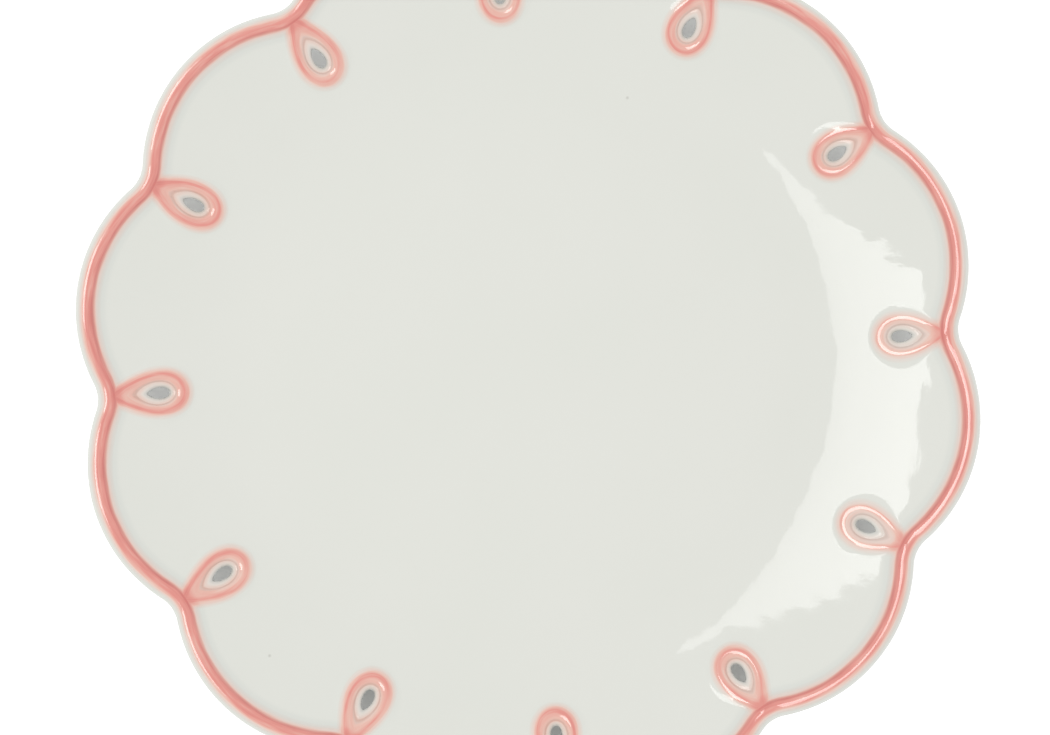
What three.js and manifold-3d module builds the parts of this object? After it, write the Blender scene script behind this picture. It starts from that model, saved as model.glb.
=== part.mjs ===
// A scalloped lunch plate: a pressed ceramic dish with a pierced rim, twelve edge cords and twelve loops
// of trailed slip laid on it, and a foot ring luted underneath.
// Millimetres, +Z up. The origin is the centre of the foot ring's resting face, and a notch lies on +X.
import * as THREE from "three";
import Module from "manifold-3d";

const wasm = await Module();
wasm.setup();

// Plan of the rim
const overallDiameter = 230; // from the crest of one scallop to the crest opposite
const scallopCount = 12;
const scallopRadius = 44; // plan radius of one scallop's edge
const notchRounding = 5; // plan radius that softens the corner between two scallops

// Section of the dish
const wallThickness = 5; // at the floor
const edgeThickness = 4; // the rim thins towards its edge
const wellRadius = 68; // the flat floor
const cavettoWidth = 15; // the band that turns up from the floor into the rim
const cavettoSlope = THREE.MathUtils.degToRad(13); // slope where the cavetto becomes the rim
const edgeSlope = THREE.MathUtils.degToRad(24); // slope at the crest of a scallop

// Foot ring
const footHeight = 3.5;
const footInset = 3; // from the edge of the floor in to the ring's outer face
const footRootWidth = 6; // where the ring is luted to the dish
const footRestWidth = 3; // the flat that stands on the table
const footRounding = 0.8; // height of the softened corners beside the resting flat

// Cords and loops of slip
const cordInset = 3.1; // from the plate's edge to the middle of the edge cord
const cordWidth = 3.2;
const cordHeight = 0.7;
const loopWidth = 2.9; // width of the cord in a loop
const loopHeight = 0.7;
const loopLength = 16.5; // from the foot round a loop's inner end to its pointed end
const loopBreadth = 12.1; // from foot to foot, where a loop is widest
const loopPointing = 1.15; // how much wider a loop's cord is at the pointed end
const seatGap = 0.3; // between the slip and what it touches

// Pierced eyelets inside the loops
const eyeletMargin = 0.5; // rim surface left between a loop and the mouth of its eyelet
const eyeletFlare = 0.85; // how far the mouth is wider than the throat, on each side
const eyeletDepth = 2; // from the rim surface down to the throat

// Facets
const sidesPerScallop = 12;
const rimBands = 7;
const edgeBands = 4;
const underBands = 5;
const footSides = 60;
const cordSteps = 12;
const beadSides = 5;
const loopSteps = 24;

// What follows from the driving dimensions
const edgeRadius = overallDiameter / 2;
const halfScallop = Math.PI / scallopCount;
const scallopCentre = edgeRadius - scallopRadius;
const wellHeight = footHeight + wallThickness;
const rimStart = wellRadius + cavettoWidth;
const edgeRounding = edgeThickness / 2;
const cordRadius = scallopRadius - cordInset;

// Radius at which a circle of the given radius round a scallop's centre meets the notch beside it
function notchReach(radius) {
  const aside = scallopCentre * Math.sin(halfScallop);
  return scallopCentre * Math.cos(halfScallop) + Math.sqrt(radius ** 2 - aside ** 2);
}

// The outline: arcs bulging outwards, with a small round in each notch. Angles start at a notch.
function outlineRadius(angle) {
  const period = 2 * halfScallop;
  const fromNotch = Math.abs(angle - period * Math.round(angle / period));
  const roundCentre = notchReach(scallopRadius + notchRounding);
  const share = notchRounding / (scallopRadius + notchRounding);
  const roundEnd = Math.atan2(
    share * scallopCentre * Math.sin(halfScallop),
    roundCentre - share * (roundCentre - scallopCentre * Math.cos(halfScallop)),
  );
  if (fromNotch < roundEnd) {
    const aside = roundCentre * Math.sin(fromNotch);
    return roundCentre * Math.cos(fromNotch) - Math.sqrt(notchRounding ** 2 - aside ** 2);
  }
  const fromCrest = halfScallop - fromNotch;
  const aside = scallopCentre * Math.sin(fromCrest);
  return scallopCentre * Math.cos(fromCrest) + Math.sqrt(scallopRadius ** 2 - aside ** 2);
}

// The upper face is a surface of revolution: a flat floor, then a slope that grows in two even stages.
function upperSlope(radius) {
  const start = Math.tan(cavettoSlope);
  const cavettoShare = THREE.MathUtils.clamp((radius - wellRadius) / cavettoWidth, 0, 1);
  const rimShare = Math.max(radius - rimStart, 0) / (edgeRadius - rimStart);
  return Math.atan(start * cavettoShare + (Math.tan(edgeSlope) - start) * rimShare);
}

function upperHeight(radius) {
  const cavetto = THREE.MathUtils.clamp(radius - wellRadius, 0, cavettoWidth);
  const rim = Math.max(radius - rimStart, 0);
  const start = Math.tan(cavettoSlope);
  const growth = (Math.tan(edgeSlope) - start) / (edgeRadius - rimStart);
  return wellHeight + (start * cavetto ** 2) / (2 * cavettoWidth) + start * rim + (growth * rim ** 2) / 2;
}

function underHeight(radius) {
  const share = THREE.MathUtils.clamp((radius - wellRadius) / (edgeRadius - wellRadius), 0, 1);
  const thickness = THREE.MathUtils.lerp(wallThickness, edgeThickness, share);
  return upperHeight(radius) - thickness / Math.cos(upperSlope(radius));
}

// A closed surface over closed rings with equal numbers of points, laid side by side so that it faces out.
// The first and last rings are joined to each other, or else each is capped from its middle.
function skin(rings, joinEnds) {
  const count = rings[0].length;
  const points = rings.flat();
  const faces = [];
  const rows = joinEnds ? rings.length : rings.length - 1;
  for (let row = 0; row < rows; row++) {
    const here = row * count;
    const next = ((row + 1) % rings.length) * count;
    for (let i = 0; i < count; i++) {
      const j = (i + 1) % count;
      faces.push(here + i, next + i, next + j, here + i, next + j, here + j);
    }
  }
  if (!joinEnds) {
    const last = (rings.length - 1) * count;
    for (let i = 0; i < count; i++) {
      const j = (i + 1) % count;
      faces.push(points.length, i, j);
      faces.push(points.length + 1, last + j, last + i);
    }
    points.push(middleOf(rings[0]), middleOf(rings[rings.length - 1]));
  }
  const geometry = new THREE.BufferGeometry().setFromPoints(points);
  geometry.setIndex(faces);
  return geometry;
}

function middleOf(ring) {
  const sum = ring.reduce((total, point) => total.add(point), new THREE.Vector3());
  return sum.divideScalar(ring.length);
}

function solidFrom(geometry) {
  const mesh = new wasm.Mesh({
    numProp: 3,
    vertProperties: geometry.getAttribute("position").array,
    triVerts: new Uint32Array(geometry.index.array),
  });
  return new wasm.Manifold(mesh);
}

function geometryFrom(solid) {
  const mesh = solid.getMesh();
  const geometry = new THREE.BufferGeometry();
  geometry.setAttribute("position", new THREE.BufferAttribute(mesh.vertProperties, 3));
  geometry.setIndex(new THREE.BufferAttribute(mesh.triVerts, 1));
  return geometry;
}

// One ring of the dish. The section gives radius and height for the outline's radius at each angle.
function dishRing(section) {
  const sides = scallopCount * sidesPerScallop;
  return Array.from({ length: sides }, (_, i) => {
    const angle = (2 * Math.PI * i) / sides;
    const [radius, height] = section(outlineRadius(angle));
    return new THREE.Vector3(radius * Math.cos(angle), radius * Math.sin(angle), height);
  });
}

// The edge is a full round: this is its middle, and the slope of the faces that run into it.
function edgeRound(outline) {
  const radius = outline - edgeRounding;
  const slope = upperSlope(radius);
  const height = upperHeight(radius - edgeRounding * Math.sin(slope)) - edgeRounding * Math.cos(slope);
  return { radius, height, slope };
}

// A point on the round, which turns from the upper face at 90 degrees to the under face at -90 degrees
function edgePoint(outline, turn) {
  const { radius, height, slope } = edgeRound(outline);
  return [radius + edgeRounding * Math.cos(slope + turn), height + edgeRounding * Math.sin(slope + turn)];
}

// Height of the dish seen from above, on its upper face or on the round of its edge
function seatHeight(radius, angle) {
  const edge = edgeRound(outlineRadius(angle));
  const outwards = radius - edge.radius;
  if (outwards < -edgeRounding * Math.sin(edge.slope)) {
    return upperHeight(radius);
  }
  return edge.height + Math.sqrt(edgeRounding ** 2 - outwards ** 2);
}

function dishGeometry() {
  const rings = [];
  for (let band = 0; band < rimBands; band++) {
    const share = band / rimBands;
    rings.push(
      dishRing((outline) => {
        const radius = THREE.MathUtils.lerp(wellRadius, edgePoint(outline, Math.PI / 2)[0], share);
        return [radius, upperHeight(radius)];
      }),
    );
  }
  for (let band = 0; band <= edgeBands; band++) {
    const turn = Math.PI / 2 - (Math.PI * band) / edgeBands;
    rings.push(dishRing((outline) => edgePoint(outline, turn)));
  }
  for (let band = 1; band <= underBands; band++) {
    const share = band / underBands;
    rings.push(
      dishRing((outline) => {
        const radius = THREE.MathUtils.lerp(edgePoint(outline, -Math.PI / 2)[0], wellRadius, share);
        return [radius, underHeight(radius)];
      }),
    );
  }
  return skin(rings, false);
}

// A loop's pointed end lies against the inner corner where two edge cords meet.
const loopTip = notchReach(cordRadius - cordWidth / 2) - seatGap;

// A drop-shaped ring on the +X axis, pointing outwards, set in from the outer foot of a loop
function dropRing(inset) {
  const head = loopTip - loopLength + inset;
  const tip = loopTip - loopPointing * inset;
  const widest = 4 / (3 * Math.sqrt(3)); // largest value of the curve's own width
  const points = [];
  for (let i = 0; i < loopSteps; i++) {
    const turn = (2 * Math.PI * i) / loopSteps;
    const x = THREE.MathUtils.lerp(head, tip, (1 - Math.cos(turn)) / 2);
    const width = Math.sin(turn) * Math.abs(Math.cos(turn / 2));
    points.push(new THREE.Vector2(x, (-width / widest) * (loopBreadth / 2 - inset)));
  }
  return points;
}

// Half-round section of a bead of slip, across and up, from its outer foot over the top to its inner foot
function beadSection(width, height) {
  return Array.from({ length: beadSides + 1 }, (_, i) => {
    const angle = (Math.PI * i) / beadSides;
    return { across: (width / 2) * Math.cos(angle), up: height * Math.sin(angle) };
  });
}

// A point of a bead, seated on the dish. The angle at which a notch lies is given.
function onRim(x, y, up, notchAngle) {
  const seat = seatHeight(Math.hypot(x, y), Math.atan2(y, x) - notchAngle);
  return new THREE.Vector3(x, y, seat + seatGap + up);
}

// One edge cord, with its crest on the +X axis. Each end is mitred to the plane of the notch there, and
// the section has a point under its middle, so that it beds on the round of the edge.
function cordGeometry() {
  const section = [...beadSection(cordWidth, cordHeight), { across: 0, up: 0 }];
  const rings = [];
  for (let step = 0; step <= cordSteps; step++) {
    const share = (2 * step) / cordSteps - 1;
    rings.push(
      section.map(({ across, up }) => {
        const radius = cordRadius + across;
        const aside = scallopCentre * Math.sin(halfScallop) - seatGap / 2;
        const angle = share * (halfScallop + Math.asin(aside / radius));
        const x = scallopCentre + radius * Math.cos(angle);
        return onRim(x, radius * Math.sin(angle), up, halfScallop);
      }),
    );
  }
  return skin(rings, false);
}

// One loop, in the notch on the +X axis
function loopGeometry() {
  const rings = beadSection(loopWidth, loopHeight).map(({ across, up }) =>
    dropRing(loopWidth / 2 - across).map(({ x, y }) => onRim(x, y, up, 0)),
  );
  return skin(rings.reverse(), true);
}

// What is cut out for the eyelet in the notch on the +X axis: a mouth that narrows to a straight throat
function eyeletGeometry() {
  const mouth = dropRing(loopWidth + eyeletMargin);
  const throat = dropRing(loopWidth + eyeletMargin + eyeletFlare);
  const ringAt = (outline, heightAt) =>
    outline.map(({ x, y }) => new THREE.Vector3(x, y, heightAt(Math.hypot(x, y))));
  return skin(
    [
      ringAt(mouth, (radius) => upperHeight(radius) + wallThickness),
      ringAt(mouth, upperHeight),
      ringAt(throat, (radius) => upperHeight(radius) - eyeletDepth),
      ringAt(throat, (radius) => underHeight(radius) - wallThickness),
    ],
    false,
  );
}

function pierce(dish) {
  let solid = solidFrom(dish);
  for (let notch = 0; notch < scallopCount; notch++) {
    solid = solid.subtract(solidFrom(eyeletGeometry().rotateZ(2 * halfScallop * notch)));
  }
  return geometryFrom(solid);
}

// The foot ring: wide where it is luted on, narrow and soft-cornered where it stands
function footGeometry() {
  const outer = wellRadius - footInset;
  const inner = outer - footRootWidth;
  const middle = (outer + inner) / 2;
  const profile = [
    new THREE.Vector2(outer, footHeight),
    new THREE.Vector2(inner, footHeight),
    new THREE.Vector2(middle - footRestWidth / 2 - footRounding, footRounding),
    new THREE.Vector2(middle - footRestWidth / 2, 0),
    new THREE.Vector2(middle + footRestWidth / 2, 0),
    new THREE.Vector2(middle + footRestWidth / 2 + footRounding, footRounding),
    new THREE.Vector2(outer, footHeight),
  ];
  return new THREE.LatheGeometry(profile, footSides).rotateX(Math.PI / 2);
}

const whiteGlaze = new THREE.MeshStandardMaterial({ color: 0xe3e4df, roughness: 0.12, metalness: 0 });
const pinkSlip = new THREE.MeshStandardMaterial({ color: 0xe59a90, roughness: 0.15, metalness: 0 });
const bareClay = new THREE.MeshStandardMaterial({ color: 0xe9e3d8, roughness: 0.85, metalness: 0 });

function piece(name, geometry, material) {
  geometry.computeVertexNormals();
  const mesh = new THREE.Mesh(geometry, material);
  mesh.name = name;
  return mesh;
}

// One notch and the scallop that follows it anticlockwise, with their loop and edge cord
function scallop(number) {
  const label = String(number + 1).padStart(2, "0");
  const cord = piece(`edge_cord_${label}`, cordGeometry(), pinkSlip);
  cord.rotation.z = halfScallop;
  const loop = piece(`loop_${label}`, loopGeometry(), pinkSlip);
  const group = new THREE.Group();
  group.rotation.z = 2 * halfScallop * number;
  return group.add(loop, cord);
}

const plate = new THREE.Group();
plate.add(piece("plate_body", pierce(dishGeometry()), whiteGlaze));
plate.add(piece("foot_ring", footGeometry(), bareClay));
for (let number = 0; number < scallopCount; number++) {
  plate.add(scallop(number));
}

export default plate;
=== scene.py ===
# Looks of a scalloped lunch plate: a glazed dish with a pierced rim, a foot ring, twelve edge cords and
# twelve loops of pink slip. Shapes are worked out in millimetres in the plate's own frame, +Z up, with a
# notch and its loop on +X, and become metres when a mesh is made.
import math

import bpy
import numpy as np
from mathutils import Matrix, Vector
from mathutils.geometry import delaunay_2d_cdt


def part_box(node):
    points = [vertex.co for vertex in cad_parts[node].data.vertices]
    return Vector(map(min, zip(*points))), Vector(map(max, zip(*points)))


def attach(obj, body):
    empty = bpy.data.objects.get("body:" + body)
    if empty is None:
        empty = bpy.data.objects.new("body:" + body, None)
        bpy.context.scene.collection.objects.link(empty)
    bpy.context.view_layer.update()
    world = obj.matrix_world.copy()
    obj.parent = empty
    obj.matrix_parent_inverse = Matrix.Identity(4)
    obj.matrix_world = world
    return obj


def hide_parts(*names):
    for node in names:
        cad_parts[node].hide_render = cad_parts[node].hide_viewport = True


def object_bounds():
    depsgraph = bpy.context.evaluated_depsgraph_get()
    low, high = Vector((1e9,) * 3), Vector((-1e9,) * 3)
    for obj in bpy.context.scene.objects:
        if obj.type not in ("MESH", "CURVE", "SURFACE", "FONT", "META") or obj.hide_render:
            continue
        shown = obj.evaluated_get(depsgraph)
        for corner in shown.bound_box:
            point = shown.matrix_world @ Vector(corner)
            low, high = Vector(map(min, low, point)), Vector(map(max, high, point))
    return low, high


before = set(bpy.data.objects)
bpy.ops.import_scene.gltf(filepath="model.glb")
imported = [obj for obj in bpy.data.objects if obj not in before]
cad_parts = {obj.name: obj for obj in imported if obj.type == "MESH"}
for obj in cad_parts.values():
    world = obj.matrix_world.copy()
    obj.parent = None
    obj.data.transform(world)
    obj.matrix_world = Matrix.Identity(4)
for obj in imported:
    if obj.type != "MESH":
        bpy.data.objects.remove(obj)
cad_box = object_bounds()

MM = 0.001

# Plan of the rim
SCALLOPS = 12
STEP = 2 * math.pi / SCALLOPS  # from one notch to the next
SCALLOP_RADIUS = 41.0
NOTCH_ROUNDING = 9.0
SCALLOP_CENTRE = (cad_box[1].x / MM - SCALLOP_RADIUS) / math.cos(STEP / 2)
SCALLOP_OUT = SCALLOP_CENTRE * math.cos(STEP / 2)  # a scallop's centre, seen from the notch beside it
SCALLOP_ASIDE = SCALLOP_CENTRE * math.sin(STEP / 2)
EDGE_RADIUS = SCALLOP_CENTRE + SCALLOP_RADIUS
NOTCH_OUT = SCALLOP_OUT + math.sqrt((SCALLOP_RADIUS + NOTCH_ROUNDING) ** 2 - SCALLOP_ASIDE**2)
NOTCH_TURN = math.asin(SCALLOP_ASIDE / (SCALLOP_RADIUS + NOTCH_ROUNDING))  # half a notch's turn

# Section of the dish
WALL = 5.0
EDGE_THICKNESS = 4.0
EDGE_ROUNDING = EDGE_THICKNESS / 2
WELL_RADIUS = 68.0
CAVETTO_WIDTH = 15.0
CAVETTO_SLOPE = math.tan(math.radians(13))
EDGE_SLOPE = math.tan(math.radians(24))
RIM_START = WELL_RADIUS + CAVETTO_WIDTH
RIM_GROWTH = (EDGE_SLOPE - CAVETTO_SLOPE) / (EDGE_RADIUS - RIM_START)
FOOT_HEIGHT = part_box("foot_ring")[1].z / MM
WELL_HEIGHT = FOOT_HEIGHT + WALL
SHEET_END = math.radians(40)  # lift of the edge's normal where the upper face hands over to the round

# Foot ring
FOOT_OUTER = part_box("foot_ring")[1].x / MM
FOOT_ROOT_WIDTH = 6.0
FOOT_REST_WIDTH = 3.0
FOOT_ROUNDING = 0.8
FOOT_DRAFT = 0.15  # how much wider each side is at the root than at the rest
FOOT_LET_IN = 0.5  # width of its root that is let into the dish
FOOT_FILLET = 1.3  # glaze drawn into the corner where the ring is luted on

# Edge cords: signed distances across a cord are positive towards the edge
CORD_INSET = 3.2
CORD_RADIUS = SCALLOP_RADIUS - CORD_INSET
CORD_NOTCH_RADIUS = NOTCH_ROUNDING + CORD_INSET
CORD_HEIGHT = 0.5
CORD_SPREAD = 1.45
CORD_CROWN = 0.65  # share of its height in a round crown, the rest is in a hollow foot
CORD_FOOT = 1.8  # spread of the foot, in those of the crown
CORD_CREST = -0.3  # its relief is highest a little inside the middle of its paint
CORD_OUTER = 1.7  # from the middle to the foot on the edge's side
CORD_INNER = 2.2  # from the middle to the foot on the rim's side
EDGE_BARE = 0.5  # width of the edge that no relief reaches
EDGE_FADE = 1.0  # width over which the relief comes in beside it

# Loops and eyelets: each ring is a drop, given by where its round end and its tip lie, out from the plate's
# axis, by its breadth and by how pointed it is, from 0.5 for an oval to 1 for straight flanks at the tip
CREST = np.array([87.7, 104.8, 9.0, 1.0])
LIP = np.array([90.0, 99.3, 5.7, 0.7])
THROAT = np.array([91.5, 96.7, 2.8, 0.68])
LIP_INSET = 1.8
LOOP_SHORTENING = 0.05  # the loop on +X is shorter by this share, and the one opposite longer
LOOP_HEIGHT = 0.75
LOOP_SPREAD = 1.2
LOOP_BODY = 0.8  # share of its height in a broad body, the rest is in a narrow crest
LOOP_FOOT = (3.1, 4.6, 2.1)  # reach of its outer side at the round end, beside the eyelet and at the tip
LOOP_WIDENS = (CREST[0] - 3, CREST[0] + 6)  # where, going outwards, that reach grows
LOOP_NARROWS = (LIP[1] - 4, CREST[1] - 2)  # and where it shrinks again
LOOP_OUTER = 1.6
LOOP_INNER = 0.9 * LIP_INSET
# Rows of a loop past its inner border: share of the way to the lip, and the distance that sets its dip
LOOP_TUCK = ((1, 0.4), (0.97, 0.25), (0.94, 0.12))
ARM_HEIGHT = 0.54  # of a loop's arms where they meet the cords
LOOP_RUN_OUT = (93.0, 104.0)  # where its arms go down to that height
JUNCTION_OUT = 104.6  # middle of the slip that pools where a loop meets the cords
JUNCTION_HEIGHT = 0.28
JUNCTION_SPREAD = 3.2
LIP_DROP = 0.84  # from the crest down to the lip
LIP_FALL = 2.4  # power by which the inner side falls away from the crest
LIP_ROUND = 1.3  # depth of the round from the lip down to the throat
THROAT_MARK = 1.0  # how much farther in the throat is marked than the lip
UNDER_FLARE = 0.35  # rounding of the eyelet's lower mouth
MOUTH_DEPTH = 2 * UNDER_FLARE  # height of that rounding
MOUTH = THROAT + [-UNDER_FLARE, UNDER_FLARE, 2 * UNDER_FLARE, 0]

# How the slip beds in the dish
BED = 0.3
BED_FLOOR = 4 * BED  # from the top of a bead down to its own flat bed
CORD_BED_ROWS = (-1.2, 0.8)
LOOP_BED_ROWS = (0.8, -0.8)
FAR_FROM_SLIP = 40.0
NEAR_LOOP = (CREST[0] - 9, CREST[2] + 4)  # out and aside, where distances from a loop are worked out
TUCK = 2.0  # how fast a piece dips out of sight past its border
OVERRUNS = (0.5, 0.25, 0.1)  # rows past a bead's borders and ends, where it dips
UNION = 4.0  # how sharply meeting beads run into each other

# Fineness of the meshes
NEAREST_ROUNDS = 36  # of narrowing down the nearest place on a drop
BETWEEN_ROUNDS = 24  # of narrowing down the ring between two drops
EDGE_POINTS = SCALLOPS * 96
EDGE_ROWS = 17
LIP_ROWS = 11
MOUTH_ROWS = (0.15, 0.35, 0.6, 0.8)  # shares of the lower mouth's round
RING_STEPS = 36  # along one side of a drop
TIP_POINTS = 12
NOTCH_POINTS = 8
SCALLOP_POINTS = 42  # along half a scallop
CORD_ROWS = 17
LOOP_INNER_ROWS = 9
LOOP_OUTER_ROWS = 8
BEAD_SPACING = 0.3
BESIDE_CORD = (-3.6, 1.3)  # across a cord, where the dish has rows of points that follow it
BESIDE_LOOP = 5.0  # how far from a loop's crest it has rows that follow the loop
CLEAR_OF_CORD = 4.6  # how far from the beads its rings of points about the axis stop
CLEAR_OF_LOOP = 5.4
CLEAR_OF_MOUTH = [-2, 2, 3, 0]  # added to the eyelet's lower mouth, for a drop with no loose points in it
WELL_RINGS = [10, 22, 34, 45, 54, 61, 66]
WELL_SPACING = 6.0
RIM_RING_SPACING = 1.5
RIM_SPACING = 1.8
UNDER_RINGS = [20, 40, 55, 62]
UNDER_RING_SPACING = 3.0
UNDER_SPACING = 4.0
FOOT_SIDES = 360

# Photograph: the whole frame, the plate's centre in it, and the turn of the plate
FRAME_WIDTH = 1050
FRAME_HEIGHT = 735
PLATE_CENTRE_PX = (528.1, 364.7)
PIXELS_PER_MM = 3.98  # at the height of the rim
PLATE_TURN = math.radians(4.38)
RIM_VIEW_HEIGHT = 17.5
LENS = 180.0
SENSOR = 36.0


def smooth_step(value, start, end):
    share = np.clip((value - start) / (end - start), 0, 1)
    return share * share * (3 - 2 * share)


# Shape of the dish
def outline_radius(angle):
    """The scalloped outline: arcs bulging outwards, with a small round in each notch."""
    off_notch = np.abs(angle - STEP * np.round(angle / STEP))
    off_crest = STEP / 2 - off_notch
    arc = SCALLOP_CENTRE * np.cos(off_crest)
    arc = arc + np.sqrt(SCALLOP_RADIUS**2 - (SCALLOP_CENTRE * np.sin(off_crest)) ** 2)
    share = NOTCH_ROUNDING / (SCALLOP_RADIUS + NOTCH_ROUNDING)
    round_end = math.atan2(share * SCALLOP_ASIDE, NOTCH_OUT - share * (NOTCH_OUT - SCALLOP_OUT))
    aside = np.minimum(NOTCH_OUT * np.sin(off_notch), NOTCH_ROUNDING)
    notch = NOTCH_OUT * np.cos(off_notch) - np.sqrt(NOTCH_ROUNDING**2 - aside**2)
    return np.where(off_notch < round_end, notch, arc)


def rim_slope(radius):
    cavetto = np.clip((radius - WELL_RADIUS) / CAVETTO_WIDTH, 0, 1)
    return CAVETTO_SLOPE * cavetto + RIM_GROWTH * np.maximum(radius - RIM_START, 0)


def upper_height(radius):
    cavetto = np.clip(radius - WELL_RADIUS, 0, CAVETTO_WIDTH)
    rim = np.maximum(radius - RIM_START, 0)
    rise = CAVETTO_SLOPE * cavetto**2 / (2 * CAVETTO_WIDTH)
    return WELL_HEIGHT + rise + CAVETTO_SLOPE * rim + RIM_GROWTH * rim**2 / 2


def under_height(radius):
    share = np.clip((radius - WELL_RADIUS) / (EDGE_RADIUS - WELL_RADIUS), 0, 1)
    thickness = WALL + (EDGE_THICKNESS - WALL) * share
    return upper_height(radius) - thickness * np.hypot(1, rim_slope(radius))


def edge_round(outline):
    """Middle of the full-round edge, out and up, and the slope of the faces that run into it."""
    radius = outline - EDGE_ROUNDING
    slope = np.arctan(rim_slope(radius))
    height = upper_height(radius - EDGE_ROUNDING * np.sin(slope)) - EDGE_ROUNDING * np.cos(slope)
    return radius, height, slope


def edge_point(outline, lift):
    """Point of the edge, out and up, whose normal is lifted by an angle above the horizontal."""
    radius, height, _ = edge_round(outline)
    return radius + EDGE_ROUNDING * np.cos(lift), height + EDGE_ROUNDING * np.sin(lift)


def seat_height(radius, outline):
    """Height of the bare dish seen from above, on its upper face or on the round of its edge."""
    middle, height, slope = edge_round(outline)
    outwards = radius - middle
    on_round = height + np.sqrt(np.maximum(EDGE_ROUNDING**2 - outwards**2, 0))
    return np.where(outwards < -EDGE_ROUNDING * np.sin(slope), upper_height(radius), on_round)


# Shape of the slip
def from_notch(x, y):
    """Distance out along the axis of the nearest notch, and sideways from that axis."""
    radius = np.hypot(x, y)
    angle = np.arctan2(y, x)
    angle = angle - STEP * np.round(angle / STEP)
    return radius * np.cos(angle), np.abs(radius * np.sin(angle))


def loop_stretch(number):
    """Length of the loop in a notch, as a share of the mean."""
    return 1 - LOOP_SHORTENING * np.cos(STEP * number)


def from_loop(x, y):
    """As from the notch, with its loop brought to the mean length."""
    out, aside = from_notch(x, y)
    number = np.round(np.arctan2(y, x) / STEP)
    return CREST[1] - (CREST[1] - out) / loop_stretch(number), aside


def across_cord(out, aside):
    """Signed distance from the middle of the edge cords, which turn smoothly in the notches."""
    on_scallop = np.hypot(np.maximum(out - SCALLOP_OUT, 0), aside - SCALLOP_ASIDE) - CORD_RADIUS
    in_notch = CORD_NOTCH_RADIUS - np.hypot(out - NOTCH_OUT, aside)
    past_turn = (SCALLOP_OUT - NOTCH_OUT) * aside - SCALLOP_ASIDE * (out - NOTCH_OUT) < 0
    return np.where(past_turn, on_scallop, in_notch)


def drop_width(share, breadth, point):
    """Half the width of a drop at a share of its length from its round end."""
    widest = 1 / (2 * point + 1)
    peak = np.sqrt(widest) * (1 - widest) ** point
    return breadth / (2 * peak) * np.sqrt(share) * (1 - share) ** point


def inside_drop(out, aside, ring):
    start, tip, breadth, point = ring
    return aside < drop_width(np.clip((out - start) / (tip - start), 0, 1), breadth, point)


def drop_distance(out, aside, ring):
    """Distance of points outside a drop from its outline, by narrowing down the nearest place on it."""
    start, tip, breadth, point = ring

    def distance(turn):
        share = np.sin(turn) ** 2
        return np.hypot(start + (tip - start) * share - out, drop_width(share, breadth, point) - aside)

    low = np.zeros(len(out))
    high = np.full(len(out), math.pi / 2)
    for _ in range(NEAREST_ROUNDS):
        third = (high - low) / 3
        nearer = distance(low + third) < distance(high - third)
        low = np.where(nearer, low, low + third)
        high = np.where(nearer, high - third, high)
    return distance((low + high) / 2)


def between_drops(share):
    """The ring that lies a share of the way in from a loop's crest to the eyelet's lip."""
    return CREST + (LIP - CREST) * share


def across_loop(out, aside):
    """Signed distance from a loop's crest: positive outside it, and -LIP_INSET on the eyelet's lip."""
    distance = np.full(len(out), FAR_FROM_SLIP)
    near = (out > NEAR_LOOP[0]) & (aside < NEAR_LOOP[1])
    distance[near] = drop_distance(out[near], aside[near], CREST)
    inside = inside_drop(out, aside, CREST)
    low = np.zeros(np.count_nonzero(inside))
    high = np.ones_like(low)
    for _ in range(BETWEEN_ROUNDS):
        middle = (low + high) / 2
        too_far_in = ~inside_drop(out[inside], aside[inside], between_drops(middle[:, None]).T)
        low = np.where(too_far_in, low, middle)
        high = np.where(too_far_in, middle, high)
    distance[inside] = -LIP_INSET * low
    return distance


def cord_bead(across):
    """Section of an edge cord: a round crest that runs out into a hollow foot."""
    across = across / CORD_SPREAD
    crown = np.exp(-(across**2))
    foot = np.exp(-((across / CORD_FOOT) ** 2))
    return CORD_HEIGHT * (CORD_CROWN * crown + (1 - CORD_CROWN) * foot)


def loop_bead(across, out):
    """Section of a loop's outer side: a round crest on a foot that is broadest beside the eyelet."""
    at_start, beside, at_tip = LOOP_FOOT
    foot = at_start + (beside - at_start) * smooth_step(out, *LOOP_WIDENS)
    foot = foot + (at_tip - beside) * smooth_step(out, *LOOP_NARROWS)
    body = np.maximum(1 - (across / foot) ** 2, 0) ** 3
    crest = np.exp(-((across / LOOP_SPREAD) ** 2))
    return LOOP_HEIGHT * (LOOP_BODY * body + (1 - LOOP_BODY) * crest)


def relief(x, y):
    """Height of the slip above the bare dish."""
    cord = cord_bead(across_cord(*from_notch(x, y)) - CORD_CREST)
    out, aside = from_loop(x, y)
    across = across_loop(out, aside)
    inner = LOOP_HEIGHT - LIP_DROP * np.maximum(-across / LIP_INSET, 0) ** LIP_FALL
    loop = np.where(across > 0, loop_bead(across, out), inner)
    loop = loop * (1 + (ARM_HEIGHT / LOOP_HEIGHT - 1) * smooth_step(out, *LOOP_RUN_OUT))
    joined = (cord**UNION + np.maximum(loop, 0) ** UNION) ** (1 / UNION)
    pooled = JUNCTION_HEIGHT * np.exp(-((out - JUNCTION_OUT) ** 2 + aside**2) / JUNCTION_SPREAD**2)
    return joined + np.minimum(loop, 0) + pooled


def rim_height(x, y):
    """Height of the glazed upper side, with the slip on it."""
    radius = np.hypot(x, y)
    outline = outline_radius(np.arctan2(y, x))
    run_out = smooth_step(outline - radius, EDGE_BARE, EDGE_BARE + EDGE_FADE)
    return seat_height(radius, outline) + relief(x, y) * run_out


def rim_normal(x, y):
    reach = 0.01
    across = (rim_height(x + reach, y) - rim_height(x - reach, y)) / (2 * reach)
    along = (rim_height(x, y + reach) - rim_height(x, y - reach)) / (2 * reach)
    normal = np.stack([-across, -along, np.ones_like(across)], axis=1)
    return normal / np.linalg.norm(normal, axis=1, keepdims=True)


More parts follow.
